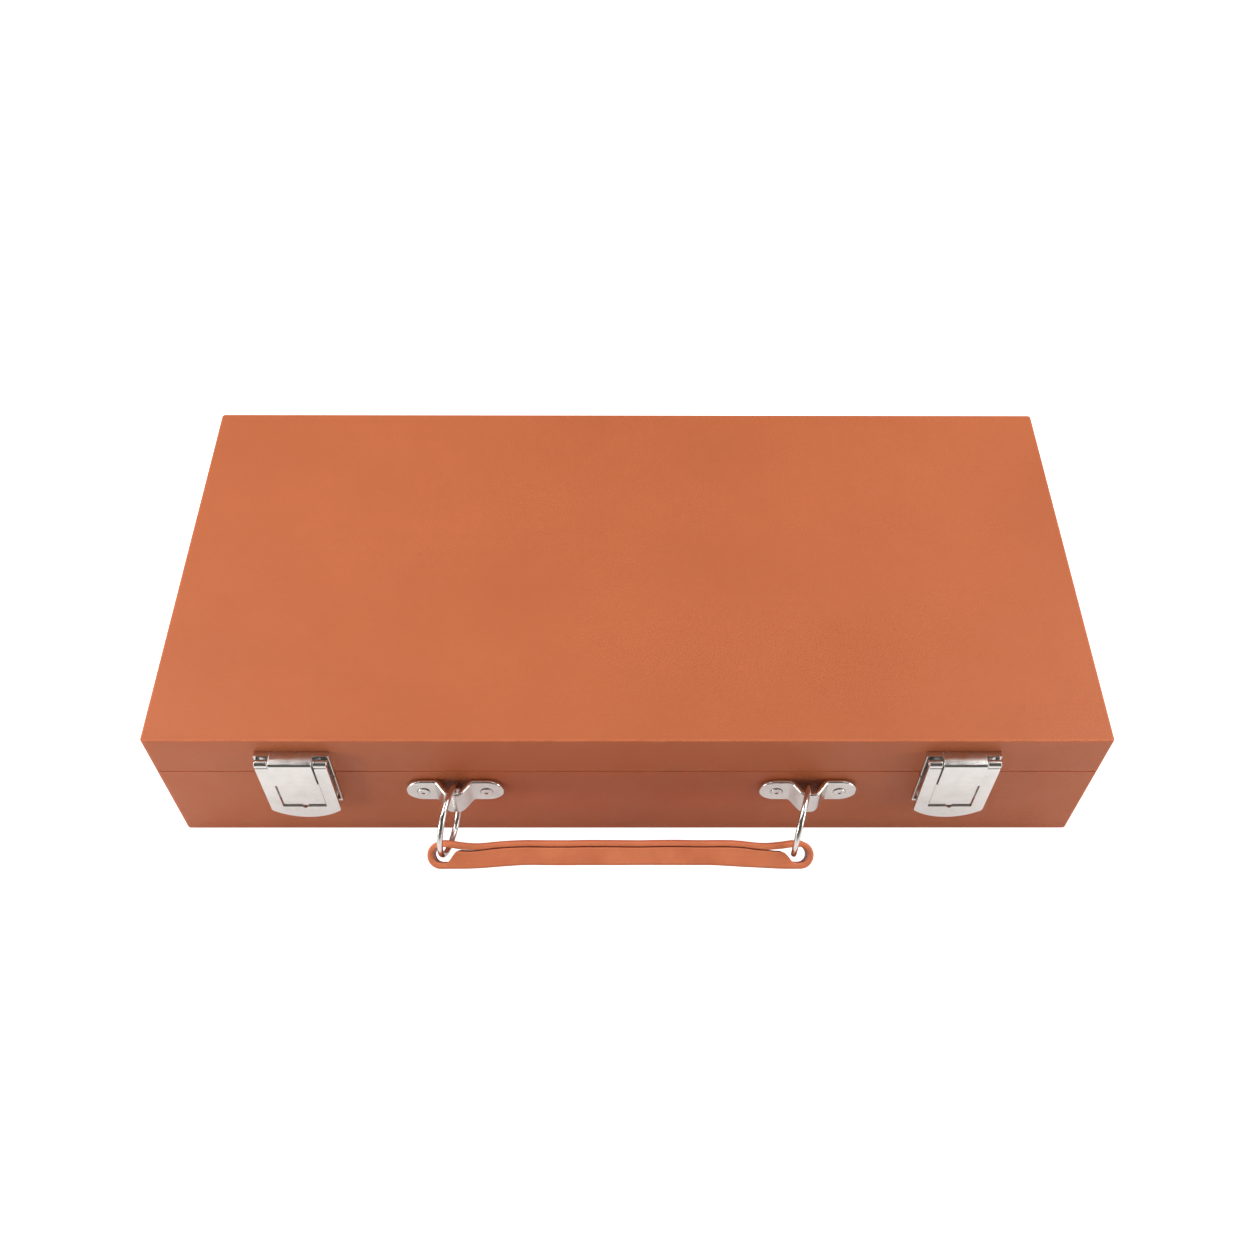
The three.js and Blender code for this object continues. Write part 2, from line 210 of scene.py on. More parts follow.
def slab(name, low, high, corner, edge, *finishes):
    """A solid rounded box between two corners, with support points near its edges."""
    middle = (low + high) / 2
    half = (high - low) / 2
    deep = min(edge * 3, 0.8 * half.x, 0.8 * half.y)
    near = (edge + deep) / 2
    past = min(edge + PAST, 0.45 * (high.z - low.z))
    profile = soften([
        (deep, low.z, 0), (near, low.z, 0), (0, low.z, edge), (0, low.z + past, 0),
        (0, high.z - past, 0), (0, high.z, edge), (near, high.z, 0), (deep, high.z, 0),
    ], 4, closed=False)
    return stack(name, middle.xy, (half.x, half.y), corner, profile, *finishes)


# How an outline (u, v) and a depth w are placed in the frame.

def lying(u, v, w):
    return u, v, w


def on_front(u, v, w):
    """Outline in x and z, depth outwards from the front face."""
    return u, FRONT - w, v


def across(u, v, w):
    """Outline in depth outwards from the front face and z, extruded along x."""
    return w, FRONT - u, v


def along_z(u, v, w):
    """Outline in x and depth outwards from the front face, extruded along z."""
    return u, FRONT - v, w


def behind(u, v, w):
    """Outline in depth outwards from the back face and z, extruded along x."""
    return w, BACK + u, v


def on_back(u, v, w):
    """Outline in x and z, depth outwards from the back face."""
    return u, BACK + w, v


def standing(u, v, w):
    """Outline in x and z, depth along y."""
    return u, w, v


def plate(name, outline, span, edge, place, *finishes, segments=3):
    """An outline made solid over a span of depth, with its rims rounded by edge."""
    shape = bmesh.new()
    face = shape.faces.new([shape.verts.new((u, v, span[0])) for u, v in outline])
    made = bmesh.ops.extrude_face_region(shape, geom=[face])["geom"]
    raised = [item for item in made if isinstance(item, bmesh.types.BMVert)]
    bmesh.ops.translate(shape, verts=raised, vec=(0, 0, span[1] - span[0]))
    caps = [one for one in shape.faces if len(one.verts) == len(outline)]
    rims = list({rim for cap in caps for rim in cap.edges})
    if edge:
        bmesh.ops.bevel(
            shape, geom=rims, offset=edge, segments=segments, profile=0.5,
            affect="EDGES", clamp_overlap=True,
        )
    for vert in shape.verts:
        vert.co = Vector(place(*vert.co)) * MM
    return finished(name, shape, bpy.data.meshes.new(name), finishes)


def spun(name, profile, place, *finishes, count=32):
    """A turned shape from (radius, height) points, capped at both ends."""
    loops = []
    for radius, height in profile:
        loops.append([place(u, v, height) for u, v in circle(0, 0, radius, count)])
    return loft(name, loops, *finishes)


def rod(name, middle, ends, radius, finish, count):
    """A pin along x between two ends, with their rims rounded."""
    profile = soften([
        (0.1, ends[0], 0), (radius, ends[0], 0.3), (radius, ends[1], 0.3), (0.1, ends[1], 0),
    ], 3, closed=False)
    return spun(name, profile, lambda u, v, w: (w, middle.y + u, middle.z + v), finish, count=count)


def as_mesh(item):
    """The mesh of an object with its modifiers or lettering applied."""
    bpy.context.view_layer.update()
    evaluated = item.evaluated_get(bpy.context.evaluated_depsgraph_get())
    return bpy.data.meshes.new_from_object(evaluated)


def carve(target, tool, operation):
    """Joins tool to target (UNION) or cuts it away (DIFFERENCE)."""
    modifier = target.modifiers.new("carve", "BOOLEAN")
    modifier.operation = operation
    modifier.solver = "EXACT"
    modifier.material_mode = "TRANSFER"
    modifier.object = tool
    data = as_mesh(target)
    target.modifiers.clear()
    target.data = data
    bpy.data.objects.remove(tool)
    smooth(data)
    return target


def merged(name, parts):
    """One object from several that share their list of materials."""
    shape = bmesh.new()
    for part in parts:
        data = part.data.copy()
        data.transform(part.matrix_basis)
        shape.from_mesh(data)
        bpy.data.meshes.remove(data)
    finishes = list(parts[0].data.materials)
    data = bpy.data.meshes.new(name)
    for part in parts:
        bpy.data.objects.remove(part)
    return finished(name, shape, data, finishes)


def copied(name, source, location=(0, 0, 0), turn=None):
    """Another object with the same mesh, moved by millimetres and turned by a matrix."""
    piece = shown(name, source.data)
    matrix = turn.to_4x4() if turn else Matrix.Identity(4)
    piece.matrix_basis = Matrix.Translation(Vector(location) * MM) @ matrix
    return piece


def settle(piece, body, slot, *nodes):
    """Says what a piece rides on and the CAD nodes it stands for. The slot of its finish is not
    used.
    """
    even = piece.modifiers.new("even_shading", "WEIGHTED_NORMAL")
    even.keep_sharp = True
    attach(piece, body)
    if nodes:
        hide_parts(*nodes)
    return piece


def stitches(name, path, normal, finish, length=2.3, pitch=3.3, radius=0.24):
    """A row of arched beads of thread along a path, standing out along normal or sideways."""
    normal = Vector(normal)
    rings, around, blunt = 6, 8, 0.04
    beads = []
    distance = pitch / 2
    for start, end in zip(path, path[1:]):
        start, end = Vector(start), Vector(end)
        along = end - start
        while distance + length < along.length:
            beads.append((start + along.normalized() * distance, along.normalized()))
            distance += pitch
        distance = max(distance - along.length, 0)
    parts = []
    for origin, along in beads:
        outward = normal if normal.length else Vector((along.y, -along.x, 0))
        sideways = along.cross(outward)
        loops = []
        for i in range(rings + 1):
            share = i / rings
            swell = radius * sqrt(max(1 - (2 * share - 1) ** 4, blunt))
            lift = 0.5 * radius * sin(pi * share)
            middle = origin + along * length * share + outward * lift
            loops.append([middle + sideways * a * swell + outward * b * swell
                          for a, b in circle(0, 0, 1, around)])
        parts.append(loft(name + "_bead", loops, finish))
    return merged(name, parts)


# ---- materials

def srgb(red, green, blue):
    """A display colour out of 255 as the linear colour that shaders use."""
    linear = []
    for value in (red, green, blue):
        share = value / 255
        linear.append(share / 12.92 if share <= 0.04045 else ((share + 0.055) / 1.055) ** 2.4)
    return (*linear, 1)


def add(tree, kind, inputs, **settings):
    """A shader node. An input is a constant or another node's output."""
    node = tree.nodes.new("ShaderNode" + kind)
    for key, value in settings.items():
        setattr(node, key, value)
    for key, value in inputs.items():
        if isinstance(value, bpy.types.NodeSocket):
            tree.links.new(value, node.inputs[key])
        else:
            node.inputs[key].default_value = value
    return node


def sums(tree, operation, *values):
    return add(tree, "Math", dict(enumerate(values)), operation=operation).outputs[0]


def remap(tree, value, low, high, to_low, to_high):
    ends = {"Value": value, "From Min": low, "From Max": high, "To Min": to_low, "To Max": to_high}
    return add(tree, "MapRange", ends).outputs["Result"]


def mixed(tree, factor, first, second):
    """A colour between two others."""
    return add(tree, "Mix", {0: factor, 6: first, 7: second}, data_type="RGBA").outputs[2]


def noise_of(tree, where, scale, detail=3.0, roughness=0.55, distortion=0.0):
    inputs = {
        "Vector": where, "Scale": scale, "Detail": detail,
        "Roughness": roughness, "Distortion": distortion,
    }
    return add(tree, "TexNoise", inputs).outputs["Fac"]


def bumped(tree, shader, height, strength, distance):
    inputs = {"Height": height, "Strength": strength, "Distance": distance}
    tree.links.new(add(tree, "Bump", inputs).outputs["Normal"], shader.inputs["Normal"])


def coloured(tree, shader, tone, rough):
    tree.links.new(tone, shader.inputs["Base Color"])
    tree.links.new(rough, shader.inputs["Roughness"])


def material(name, **sockets):
    """A principled material: returns it with its tree, its shader and its object coordinates."""
    made = bpy.data.materials.new(name)
    made.use_nodes = True
    tree = made.node_tree
    shader = tree.nodes["Principled BSDF"]
    for key, value in sockets.items():
        shader.inputs[key.replace("_", " ")].default_value = value
    where = add(tree, "TexCoord", {}).outputs["Object"]
    return made, tree, shader, where


def surface_directions(tree):
    """Two coordinates that lie in a flat surface, whichever of the three ways it faces."""
    spot = add(tree, "TexCoord", {})
    x, y, z = add(tree, "SeparateXYZ", {0: spot.outputs["Object"]}).outputs
    size = add(tree, "VectorMath", {0: spot.outputs["Normal"]}, operation="ABSOLUTE").outputs[0]
    facing = add(tree, "SeparateXYZ", {0: size}).outputs
    on_end = sums(tree, "GREATER_THAN", facing["X"], 0.7)
    on_top = sums(tree, "GREATER_THAN", facing["Z"], 0.7)
    u = add(tree, "Mix", {0: on_end, 2: x, 3: y}, data_type="FLOAT").outputs[0]
    v = add(tree, "Mix", {0: on_top, 2: z, 3: y}, data_type="FLOAT").outputs[0]
    return u, v


def rubbed_edges(tree, where):
    """1 where two outer faces of the case meet and along its open rims, and 0 elsewhere."""
    wear_starts, wear_full = 1.1, 0.2
    rim_starts, rim_full, rim_share = 1.0, 0.3, 0.6
    x, y, z = add(tree, "SeparateXYZ", {0: where}).outputs
    half_tall = LID_HIGH.z / 2
    seam = (BASE_HIGH.z + LID_LOW.z) / 2
    on_face = []
    for value, middle, half in ((x, 0, BASE_HIGH.x), (y, 0, BACK), (z, half_tall, half_tall)):
        offset = sums(tree, "ABSOLUTE", sums(tree, "SUBTRACT", value, middle * MM))
        ends = (half - wear_starts) * MM, (half - wear_full) * MM
        on_face.append(remap(tree, offset, *ends, 0, 1))
    on_side = sums(tree, "MAXIMUM", *on_face[:2])
    from_seam = sums(tree, "ABSOLUTE", sums(tree, "SUBTRACT", z, seam * MM))
    on_rim = remap(tree, from_seam, rim_starts * MM, rim_full * MM, 0, rim_share)
    on_level = sums(tree, "MAXIMUM", on_face[2], on_rim)
    on_upright = sums(tree, "MULTIPLY", *on_face[:2])
    return sums(tree, "MAXIMUM", on_upright, sums(tree, "MULTIPLY", on_side, on_level))


def leatherette(name, colour, deep, pitch=0.00085, strength=0.4, rubbed=False):
    """Coated board cloth with a fine diagonal cross-hatch, pitch metres apart, and painted shade in
    the hatch's grooves.
    """
    made, tree, shader, where = material(
        name, Coat_Weight=0.2, Coat_Roughness=0.35, Specular_IOR_Level=0.35,
    )
    u, v = surface_directions(tree)
    wobble = remap(tree, noise_of(tree, where, 420, 2), 0, 1, -1.6, 1.6)
    turns = 2 * pi / (pitch * sqrt(2))
    lines = []
    for direction in ("ADD", "SUBTRACT"):
        along = sums(tree, "MULTIPLY", sums(tree, direction, u, v), turns)
        lines.append(sums(tree, "SINE", sums(tree, "ADD", along, wobble)))
    hatch = remap(tree, sums(tree, "MAXIMUM", *lines), -0.6, 1.0, 0, 1)
    pebble = noise_of(tree, where, 2600, 2)
    height = sums(tree, "ADD", hatch, sums(tree, "MULTIPLY", pebble, 0.7))
    bumped(tree, shader, height, strength, 0.0003)
    cloud = remap(tree, noise_of(tree, where, 9, 4), 0.35, 0.65, 0, 1)
    tone = mixed(tree, sums(tree, "MULTIPLY", cloud, 0.3), colour, deep)
    # Painted shade: the low parts of the cross-hatch are darkened towards the deep colour.
    groove_painted_shade = remap(tree, hatch, 0, 0.5, 0.28, 0)
    tone = mixed(tree, groove_painted_shade, tone, deep)
    if rubbed:
        patches = remap(tree, noise_of(tree, where, 90, 3), 0.35, 0.6, 0.15, 0.45)
        pale = tuple(min(1, 1.4 * share + 0.02) for share in colour[:3]) + (1,)
        worn = sums(tree, "MULTIPLY", rubbed_edges(tree, where), patches)
        tone = mixed(tree, worn, tone, pale)
    coloured(tree, shader, tone, remap(tree, noise_of(tree, where, 60, 3), 0.3, 0.7, 0.5, 0.62))
    return made


def strap_leather():
    """Smooth dyed leather with fine pores and soft creases along the strap."""
    colour, deep = srgb(234, 134, 90), srgb(200, 100, 60)
    made, tree, shader, where = material("strap_leather", Coat_Weight=0.12, Coat_Roughness=0.35)
    pores = add(tree, "TexVoronoi", {"Vector": where, "Scale": 1900.0}).outputs["Distance"]
    stretched = add(tree, "Mapping", {"Vector": where, "Scale": (120, 900, 900)}).outputs[0]
    creases = noise_of(tree, stretched, 1.0, 4, 0.6)
    height = sums(tree, "ADD", pores, sums(tree, "MULTIPLY", creases, 1.6))
    bumped(tree, shader, height, 0.3, 0.0003)
    blotch = remap(tree, noise_of(tree, where, 70, 4), 0.35, 0.7, 0, 0.45)
    rough = remap(tree, creases, 0.3, 0.7, 0.42, 0.6)
    coloured(tree, shader, mixed(tree, blotch, colour, deep), rough)
    return made


def plated(name, colour, dull, rough, brush=(1400, 60, 1400), patchy=0.35):
    """Polished plate with faint polishing lines, and dulled by handling here and there."""
    made, tree, shader, where = material(name, Metallic=1.0)
    stretched = add(tree, "Mapping", {"Vector": where, "Scale": brush}).outputs[0]
    lines = noise_of(tree, stretched, 1.0, 2)
    bumped(tree, shader, lines, 0.04, 0.0001)
    smears = remap(tree, noise_of(tree, where, 160, 4, 0.6), 0.4, 0.7, 0, 1)
    tone = mixed(tree, sums(tree, "MULTIPLY", smears, patchy), colour, dull)
    worn = remap(tree, smears, 0, 1, rough, rough + 0.1)
    brushed = remap(tree, lines, 0.3, 0.7, -0.02, 0.02)
    coloured(tree, shader, tone, sums(tree, "ADD", worn, brushed))
    return made


def resin(name, colour, vein, glow):
    """Cast playing-piece resin: polished, slightly clouded, with darker veins drifting through."""
    made, tree, shader, where = material(
        name, Coat_Weight=0.5, Coat_Roughness=0.12, Subsurface_Weight=glow, Subsurface_Scale=0.002,
    )
    swirl = noise_of(tree, where, 55, 5, 0.6, 1.8)
    from_vein = sums(tree, "ABSOLUTE", sums(tree, "SUBTRACT", swirl, 0.5))
    veins = remap(tree, from_vein, 0, 0.06, 0.75, 0)
    cloud = remap(tree, noise_of(tree, where, 140, 3), 0.3, 0.7, 0, 0.25)
    tone = mixed(tree, sums(tree, "MAXIMUM", veins, cloud), colour, vein)
    scuffs = remap(tree, noise_of(tree, where, 420, 4, 0.7), 0.35, 0.75, 0.22, 0.36)
    coloured(tree, shader, tone, scuffs)
    bumped(tree, shader, noise_of(tree, where, 900, 2), 0.03, 0.0001)
    return made


def cloth(name, colour, deep):
    """Short-nap cloth: a soft fibrous bump and sheen, brushed into slightly uneven tone."""
    made, tree, shader, where = material(name, Sheen_Weight=0.5, Sheen_Roughness=0.5)
    fibres = noise_of(tree, where, 5200, 3, 0.7)
    clumps = noise_of(tree, where, 1100, 3, 0.6)
    bumped(tree, shader, sums(tree, "ADD", fibres, clumps), 0.5, 0.0004)
    brushed = remap(tree, noise_of(tree, where, 24, 4), 0.35, 0.65, 0, 0.35)
    shade = sums(tree, "MAXIMUM", brushed, remap(tree, clumps, 0.4, 0.7, 0, 0.4))
    rough = remap(tree, fibres, 0.3, 0.7, 0.8, 0.98)
    coloured(tree, shader, mixed(tree, shade, colour, deep), rough)
    return made


def inlay_leather(name, colour, deep):
    """Thin inlaid leather with fine pores."""
    made, tree, shader, where = material(name, Coat_Weight=0.05, Coat_Roughness=0.4)
    pores = add(tree, "TexVoronoi", {"Vector": where, "Scale": 1500.0}).outputs["Distance"]
    bumped(tree, shader, pores, 0.35, 0.0003)
    blotch = remap(tree, noise_of(tree, where, 45, 4), 0.35, 0.65, 0, 0.5)
    rough = remap(tree, pores, 0, 0.6, 0.62, 0.48)
    coloured(tree, shader, mixed(tree, blotch, colour, deep), rough)
    return made


def twisted_thread(name, colour, deep):
    """Waxed thread, with painted shade in the slanting grooves between its plies."""
    made, tree, shader, where = material(name, Sheen_Weight=0.2, Sheen_Roughness=0.4)
    inputs = {"Vector": where, "Scale": 700.0, "Distortion": 0.6}
    plies = add(tree, "TexWave", inputs, bands_direction="DIAGONAL").outputs["Fac"]
    bumped(tree, shader, plies, 0.4, 0.0001)
    # Painted shade: the low parts of the ply pattern are darkened towards the deep colour.
    tone = mixed(tree, sums(tree, "MULTIPLY", plies, 0.5), deep, colour)
    coloured(tree, shader, tone, remap(tree, plies, 0, 1, 0.75, 0.55))
    return made


TAN = leatherette("tan_leatherette", srgb(214, 116, 68), srgb(184, 92, 50), rubbed=True)
CUP_LEATHER = leatherette(
    "cup_leather", srgb(88, 48, 32), srgb(52, 26, 17), pitch=0.0011, strength=0.35,
)
STRAP = strap_leather()
NICKEL = plated("nickel", srgb(226, 224, 221), srgb(200, 196, 190), 0.17)
BRASS = plated(
    "brass", srgb(212, 178, 112), srgb(186, 148, 82), 0.22, brush=(60, 1400, 1400), patchy=0.25,
)
IVORY = resin("ivory_resin", srgb(240, 230, 206), srgb(214, 192, 150), 0.25)
BROWN = resin("brown_resin", srgb(62, 32, 20), srgb(120, 66, 34), 0.05)
FIELD = cloth("field_cloth", srgb(232, 221, 196), srgb(206, 190, 158))
LINING = cloth("cup_lining", srgb(120, 70, 44), srgb(84, 46, 28))
ORANGE_INLAY = inlay_leather("point_orange", srgb(206, 103, 54), srgb(172, 78, 36))
BROWN_INLAY = inlay_leather("point_brown", srgb(84, 48, 34), srgb(56, 30, 20))
THREAD = twisted_thread("stitch_thread", srgb(236, 200, 158), srgb(190, 146, 100))
INK = inlay_leather("pip_ink", srgb(36, 26, 22), srgb(22, 16, 14))


# ---- case

def build_case():
    """Both halves: covered board, with soft edges and the cover turned in at the rim."""
    edge, rim, inside, corner = 0.6, 0.45, 0.6, 1.3
    cap, floor_cap = 12, WALL + 10
    halves = (
        ("base_case", "base", "base_shell", BASE_LOW.z, BASE_HIGH.z, BASE_LOW.z + BOARD),
        ("lid_case", "lid", "lid_shell", LID_HIGH.z, LID_LOW.z, LID_HIGH.z - BOARD),
    )
    half = (BASE_HIGH.x, BACK)
    for name, body, node, outer, mouth, floor in halves:
        rise = PAST if mouth > outer else -PAST
        profile = soften([
            (cap, outer, 0), (edge + PAST, outer, 0), (0, outer, edge), (0, outer + 2 * rise, 0),
            (0, mouth - 2 * rise, 0), (0, mouth, rim), (WALL, mouth, rim), (WALL, floor, inside),
            (floor_cap, floor, 0),
        ], 5, closed=False)
        settle(stack(name, (0, 0), half, corner, profile, TAN), body, "tan_leatherette", node)


def build_fields():
    """The playing surface of each half, the parts that carry it and the rails at its ends."""
    low, high = FRAME_LOW, FRAME_HIGH
    corner, edge, wall_edge = 0.8, 1.4, 0.4
    panel_corner, panel_edge = 0.6, 0.5
    rail_low = centre("base_playing_panel").x + PANEL_HIGH.x + FIT
    walls = box_outline((0, high.x - rail_low), (low.z, PANEL_LOW.z - FIT), wall_edge)
    size = (high.x, high.y)
    ring = stack("base_field_frame_walls", (0, 0), size, corner, walls, TAN, ring=True)
    settle(ring, "base", "tan_leatherette", "base_field_frame")
    for side, sign in (("left", -1), ("right", 1)):
        ends = sorted((sign * rail_low, sign * high.x))
        rail = slab(
            f"base_rail_{side}", Vector((ends[0], low.y, PANEL_LOW.z)),
            Vector((ends[1], high.y, high.z)), corner, edge, TAN,
        )
        settle(rail, "base", "tan_leatherette", "base_field_frame")
        node = f"lid_divider_{side}"
        divider = slab(f"lid_rail_{side}", *limits(node), corner, edge, TAN)
        settle(divider, "lid", "tan_leatherette", node)
    for half in ("base", "lid"):
        node = f"{half}_playing_panel"
        panel = slab(f"{half}_field", *limits(node), panel_corner, panel_edge, FIELD)
        settle(panel, half, "field_cloth", node)


def build_points():
    """Twelve long triangles inlaid in each half, six from each end, in two colours."""
    count = 6
    inlay, sunk, edge = 0.24, 0.1, 0.1
    margin, gap, tip, length = 1.2, 0.8, 1.0, 120
    foot_round, tip_round = 0.6, 0.3
    reach = PANEL_HIGH.x - margin
    pitch = (2 * PANEL_HIGH.y - 2 * margin) / count
    wide = pitch / 2 - gap / 2
    top, under = PANEL_HIGH.z, limits("lid_playing_panel")[0].z
    for half, span in (("base", (top - sunk, top + inlay)), ("lid", (under - inlay, under + sunk))):
        groups = {"orange": [], "brown": []}
        for sign in (-1, 1):
            for i in range(count):
                y = -PANEL_HIGH.y + margin + (i + 0.5) * pitch
                near, far = sign * reach, sign * (reach - length)
                outline = soften([
                    (near, y - wide, foot_round), (near, y + wide, foot_round),
                    (far, y + tip / 2, tip_round), (far, y - tip / 2, tip_round),
                ], 3)
                colour = "orange" if (i + (sign > 0) + (half == "lid")) % 2 else "brown"
                finish = ORANGE_INLAY if colour == "orange" else BROWN_INLAY
                point = plate("point", outline, span, edge, lying, finish, segments=2)
                groups[colour].append(point)
        for colour, parts in groups.items():
            settle(merged(f"{half}_points_{colour}", parts), half, f"point_{colour}")


def build_trim():
    """A row of stitches along each rail, in both halves."""
    margin = 3
    for side in ("left", "right"):
        low, high = limits(f"lid_divider_{side}")
        x = (low.x + high.x) / 2
        for half, z, up in (("lid", low.z, -1), ("base", FRAME_HIGH.z, 1)):
            path = [(x, low.y + margin, z), (x, high.y - margin, z)]
            row = stitches(f"{half}_rail_stitches_{side}", path, (0, 0, up), THREAD)
            settle(row, half, "stitch_thread")


# ---- hinge

# How many knuckles there are, and the thickness of a leaf.
KNUCKLES, LEAF = 15, 1.0


def hinge_leaf(name, body, node, up, first):
    """A leaf whose every second tab is curled round the pin."""
    low, high = limits(node)
    pin = centre("hinge_pin")
    reach = pin.y - BACK
    length = high.x
    outer, inner, tab, overlap, gap = 1.6, 0.95, 2, 0.4, 0.2
    steps, sweep = 18, radians(285)
    near = pin.z + up * tab
    far = low.z if up < 0 else high.z
    flat = box_outline((-length, length), sorted((near, far)), 1.2)
    parts = [plate(f"{name}_strip", flat, (0, LEAF), 0.25, on_back, BRASS)]

    def arc(radius):
        turns = [pi + sweep * i / steps for i in range(steps + 1)]
        return [(reach + radius * cos(a), pin.z + up * radius * sin(a)) for a in turns]

    joined = near + up * overlap
    outline = [(reach - inner, joined), (reach - outer, joined), *arc(outer), *reversed(arc(inner))]
    pitch = 2 * length / KNUCKLES
    for i in range(first, KNUCKLES, 2):
        span = (-length + i * pitch + gap, -length + (i + 1) * pitch - gap)
        parts.append(plate("knuckle", outline, span, 0.1, behind, BRASS, segments=2))
    settle(merged(name, parts), body, "brass", node)


def screw_head():
    """A low round head with a straight slot."""
    radius, rise, slot_half, deep = 2.3, 0.75, 0.36, 0.5
    profile = soften([
        (radius, -0.3, 0), (radius, rise * 0.4, 0.2), (radius * 0.7, rise, 0.6), (0.05, rise, 0),
    ], 4, closed=False)
    head = spun("screw_head", profile, standing, BRASS, count=28)
    outline = box_outline((-2 * radius, 2 * radius), (-slot_half, slot_half), 0)
    slot = plate("slot", outline, (rise - deep, rise + 1), 0, standing, BRASS)
    return carve(head, slot, "DIFFERENCE")


def build_hinge():
    hinge_leaf("base_hinge_leaf", "base", "hinge_leaf_base", -1, 0)
    hinge_leaf("lid_hinge_leaf", "lid", "hinge_leaf_lid", 1, 1)
    low, high = limits("hinge_pin")
    pin = rod("hinge_rod", centre("hinge_pin"), (low.x, high.x), 0.85, BRASS, 20)
    settle(pin, "base", "brass", "hinge_pin")
    head = screw_head()
    screws, from_rim = 8, 4.8
    turns = random.Random(4)
    for body, node in (("base", "hinge_leaf_base"), ("lid", "hinge_leaf_lid")):
        low, high = limits(node)
        z = high.z - from_rim if body == "lid" else low.z + from_rim
        parts = []
        for i in range(screws):
            x = low.x + (i + 0.5) * (high.x - low.x) / screws
            turn = Matrix.Rotation(turns.uniform(0, pi), 3, "Y")
            parts.append(copied("screw", head, (x, BACK + LEAF, z), turn))
        settle(merged(f"{body}_hinge_screws", parts), body, "brass")
    bpy.data.objects.remove(head)


# ---- latches

# Thickness of a back plate, height and width of its rims, and thickness of the pressed sheet.
PLATE, RIM_OUT, RIM_WIDE, SKIN = 0.8, 2.4, 0.9, 1.0


def channel(z, half):
    """A back plate with a raised rim down each side, between two heights."""
    outline = soften([
        (-half, 0, 0), (half, 0, 0), (half, RIM_OUT, 0.3), (half - RIM_WIDE, RIM_OUT, 0.3),
        (half - RIM_WIDE, PLATE, 0.15), (-half + RIM_WIDE, PLATE, 0.15),
        (-half + RIM_WIDE, RIM_OUT, 0.3), (-half, RIM_OUT, 0.3),
    ], 3)
    return plate("channel", outline, z, 0.15, along_z, NICKEL, segments=2)


def lid_plate(low, high):
    """The lid's back plate with the folded cover that the hasp hangs from."""
    cover, top_bend = 8.6, 1.3
    outer = FRONT - low.y
    outline = soften([
        (0.3, low.z, 0), (0.3, high.z, 0), (outer, high.z, top_bend), (outer, low.z, 0.2),
    ], 6)
    body = plate("cover", outline, (-cover, cover), 0.35, across, NICKEL)
    inside = box_outline((PLATE, outer - SKIN), (low.z - 2, high.z - SKIN), 0.6)
    half = (high.x - low.x) / 2
    body = carve(body, channel((low.z, high.z), half), "UNION")
    for sign in (-1, 1):
        ends = sorted((sign * half, sign * (cover - 0.2)))
        rim = box_outline(ends, (high.z - RIM_WIDE, high.z), 0.2)
        body = carve(body, plate("top_rim", rim, (0.2, RIM_OUT), 0.15, on_front, NICKEL), "UNION")
    hollow = plate("hollow", inside, (SKIN - cover, cover - SKIN), 0, across, NICKEL)
    return carve(body, hollow, "DIFFERENCE")


def keeper_plate(low, high):
    """The base's back plate with its pressed catch, and a small foot under each rim. The catch
    nearly fills the hasp's window."""
    cover, outer, block_low = 8.65, 5.5, 30.8
    foot, foot_tall = 2.2, 1.7
    half = (high.x - low.x) / 2
    body = channel((low.z, high.z), half)
    block = box_outline((-cover, cover), (block_low, high.z), 0.7)
    body = carve(body, plate("catch", block, (0.3, outer), 0.25, on_front, NICKEL), "UNION")
    for sign in (-1, 1):
        ends = sorted((sign * half, sign * (half - foot)))
        pad = box_outline(ends, (low.z, low.z + foot_tall), 0.3)
        body = carve(body, plate("foot", pad, (0.2, RIM_OUT), 0.2, on_front, NICKEL), "UNION")
    inside = box_outline((SKIN - cover, cover - SKIN), (block_low + SKIN, high.z + 2), 0)
    hollow = plate("hollow", inside, (PLATE, outer - SKIN), 0, on_front, NICKEL)
    return carve(body, hollow, "DIFFERENCE")


def hasp_frame(low, high):
    """The swinging frame: two arms, a curved lower bar with a notch, and an eye on each arm."""
    pin = centre("latch_left_hinge_pin")
    eye, radius, bore = FRONT - pin.y, 1.72, 0.7
    half = (high.x - low.x) / 2
    window, window_low, notch = 9.0, 30.6, 1.3
    arc, corner, steps = 20.0, 4.0, 12
    thick, below_pin, curve_in, curve_up = 1.4, 1.55, 1.2, 0.6
    arm_top = pin.z - below_pin
    outer = FRONT - low.y
    curve_half = half - curve_in
    arc_end = low.z + arc - sqrt(arc ** 2 - curve_half ** 2) + curve_up
    bottom = []
    for i in range(steps + 1):
        u = curve_half * (2 * i / steps - 1)
        bottom.append((u, low.z + arc - sqrt(arc ** 2 - u ** 2), 0))
    outline = soften([
        (-half, arm_top, 0.5), (-half, arc_end, corner), *bottom,
        (half, arc_end, corner), (half, arm_top, 0.5),
        (window, arm_top, 0.5), (window, window_low, 0.3),
        (notch, window_low, 0.2), (0, window_low - notch, 0.15), (-notch, window_low, 0.2),
        (-window, window_low, 0.3), (-window, arm_top, 0.5),
    ], 4)
    span = outer - thick, outer
    body = plate("frame", outline, span, 0.42, on_front, NICKEL, segments=4)
    for sign in (-1, 1):
        span = sorted((sign * window, sign * half))
        roll = plate("eye", circle(eye, pin.z, radius), span, 0.3, across, NICKEL)
        body = carve(body, roll, "UNION")
    drill = plate("bore", circle(eye, pin.z, bore, 20), (-half - 1, half + 1), 0, across, NICKEL)
    return carve(body, drill, "DIFFERENCE")


def latch_pin(low, high):
    """The hasp's pin, whose ends show a little past the eyes."""
    past = 0.25
    return rod("pin", (low + high) / 2, (low.x - past, high.x + past), 0.6, NICKEL, 18)


